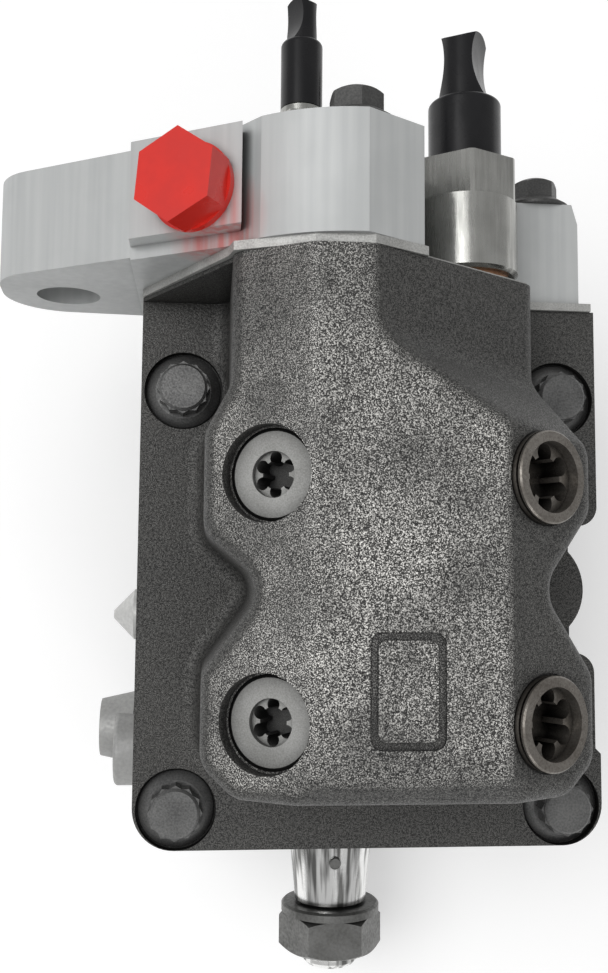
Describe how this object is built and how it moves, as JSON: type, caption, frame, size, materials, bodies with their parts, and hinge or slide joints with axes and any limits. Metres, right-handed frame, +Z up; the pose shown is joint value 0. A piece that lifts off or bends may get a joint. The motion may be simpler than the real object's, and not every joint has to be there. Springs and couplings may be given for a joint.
{
  "type": "diesel injection pump",
  "caption": "Inline high-pressure diesel injection pump: iron head with leaning valve ports, cam housing, gear supply pump, tapered drive shaft, capped connectors.",
  "frame": {"origin": "camshaft axis at the front mounting face, where the pilot spigot starts", "axes": "+Y along the camshaft to the gear pump, -Y out of the front to the drive end, +Z up to the pumping head, +X to the outlet side"},
  "size_m": [0.181, 0.3067, 0.2194],
  "materials": {
    "cast_iron": "grainy dark casting",
    "machined_aluminium": "satin machined",
    "plate_steel": "ground",
    "gasket": "matt",
    "bolt_steel": "dark phosphate",
    "shaft_steel": "turned",
    "plug_light": "matt",
    "plug_brown": "brown oiled",
    "connector_steel": "plated",
    "copper_seal": "soft copper",
    "red_plastic": "glossy",
    "black_vinyl": "glossy soft vinyl",
    "valve_body": "moulded",
    "contact_brass": "plated",
    "seal_rubber": "matt",
    "bearing_bronze": "plain bearing bronze",
    "inner_steel": "ground"
  },
  "bodies": {
    "housing": {"pump_head": "cast_iron", "cam_housing": "cast_iron", "rear_housing": "machined_aluminium", "port_plate": "plate_steel", "head_gasket": "gasket", "head_bolts": "bolt_steel", "rear_bolts": "bolt_steel", "metering_screws": "bolt_steel", "inlet_plug_front": "plug_light", "inlet_plug_rear": "plug_light", "outlet_plug_front": "plug_brown", "outlet_plug_rear": "plug_brown", "outlet_connector": "connector_steel", "return_connector": "connector_steel", "overflow_valve_body": "connector_steel", "outlet_seal_washer": "copper_seal", "metering_valve_body": "valve_body", "metering_contacts": "contact_brass", "shaft_seal": "seal_rubber", "barrel_seals": "seal_rubber", "front_bearing_bush": "bearing_bronze", "rear_bearing_bush": "bearing_bronze", "idler_pin": "inner_steel", "valve_springs": "inner_steel", "overflow_spring": "inner_steel", "tappet_spring_front": "inner_steel", "barrel_front": "inner_steel", "inlet_valve_seat_front": "inner_steel", "outlet_valve_seat_front": "inner_steel", "tappet_spring_rear": "inner_steel", "barrel_rear": "inner_steel", "inlet_valve_seat_rear": "inner_steel", "outlet_valve_seat_rear": "inner_steel"},
    "camshaft_set": {"camshaft": "shaft_steel", "index_pin": "shaft_steel", "shaft_washer": "shaft_steel", "shaft_nut": "shaft_steel", "drive_gear": "inner_steel"},
    "idler": {"idler_gear": "inner_steel"},
    "tappet_set_front": {"tappet_front": "inner_steel", "roller_pin_front": "inner_steel", "plunger_front": "inner_steel", "spring_retainer_front": "inner_steel"},
    "roller_front_body": {"roller_front": "inner_steel"},
    "inlet_ball_front_body": {"inlet_valve_ball_front": "inner_steel"},
    "outlet_ball_front_body": {"outlet_valve_ball_front": "inner_steel"},
    "tappet_set_rear": {"tappet_rear": "inner_steel", "roller_pin_rear": "inner_steel", "plunger_rear": "inner_steel", "spring_retainer_rear": "inner_steel"},
    "roller_rear_body": {"roller_rear": "inner_steel"},
    "inlet_ball_rear_body": {"inlet_valve_ball_rear": "inner_steel"},
    "outlet_ball_rear_body": {"outlet_valve_ball_rear": "inner_steel"},
    "overflow_piston_body": {"overflow_piston": "inner_steel"},
    "outlet_cap_body": {"outlet_cap": "black_vinyl"},
    "return_cap_body": {"return_cap": "black_vinyl"},
    "port_cap_body": {"port_cap": "red_plastic"}
  },
  "joints": [
    {"name": "camshaft_spin", "type": "hinge", "parent": "housing", "child": "camshaft_set", "pos_m": [0, 0, 0], "axis": [0, 1, 0], "continuous": true},
    {"name": "idler_spin", "type": "hinge", "parent": "housing", "child": "idler", "pos_m": [0, 0.176, 0.035], "axis": [0, 1, 0], "continuous": true},
    {"name": "tappet_slide_front", "type": "slide", "parent": "housing", "child": "tappet_set_front", "axis": [0, 0, 1], "range_m": [-0.008, 0], "deforming": ["tappet_spring_front"]},
    {"name": "roller_spin_front", "type": "hinge", "parent": "tappet_set_front", "child": "roller_front_body", "pos_m": [0, 0.048, 0.0363], "axis": [0, 1, 0], "continuous": true},
    {"name": "inlet_ball_lift_front", "type": "slide", "parent": "housing", "child": "inlet_ball_front_body", "axis": [-0.5, 0, 0.866], "range_m": [0, 0.0006]},
    {"name": "outlet_ball_lift_front", "type": "slide", "parent": "housing", "child": "outlet_ball_front_body", "axis": [0.5, 0, 0.866], "range_m": [0, 0.0006]},
    {"name": "tappet_slide_rear", "type": "slide", "parent": "housing", "child": "tappet_set_rear", "axis": [0, 0, 1], "range_m": [-0.008, 0], "deforming": ["tappet_spring_rear"]},
    {"name": "roller_spin_rear", "type": "hinge", "parent": "tappet_set_rear", "child": "roller_rear_body", "pos_m": [0, 0.109, 0.0363], "axis": [0, 1, 0], "continuous": true},
    {"name": "inlet_ball_lift_rear", "type": "slide", "parent": "housing", "child": "inlet_ball_rear_body", "axis": [-0.5, 0, 0.866], "range_m": [0, 0.0006]},
    {"name": "outlet_ball_lift_rear", "type": "slide", "parent": "housing", "child": "outlet_ball_rear_body", "axis": [0.5, 0, 0.866], "range_m": [0, 0.0006]},
    {"name": "overflow_piston_slide", "type": "slide", "parent": "housing", "child": "overflow_piston_body", "axis": [-1, 0, 0], "range_m": [0, 0.003], "stiffness_N_per_m": 1500, "springref_m": -0.002},
    {"name": "outlet_cap_pull", "type": "slide", "parent": "housing", "child": "outlet_cap_body", "axis": [0, 1, 0], "range_m": [0, 0.018]},
    {"name": "return_cap_pull", "type": "slide", "parent": "housing", "child": "return_cap_body", "axis": [0, 1, 0], "range_m": [0, 0.017]},
    {"name": "port_cap_pull", "type": "slide", "parent": "housing", "child": "port_cap_body", "axis": [-0.4887, 0, 0.8725], "range_m": [0, 0.014]}
  ],
  "couplings": [
    {"joint": "idler_spin", "follows": "camshaft_spin", "ratio": -1}
  ]
}
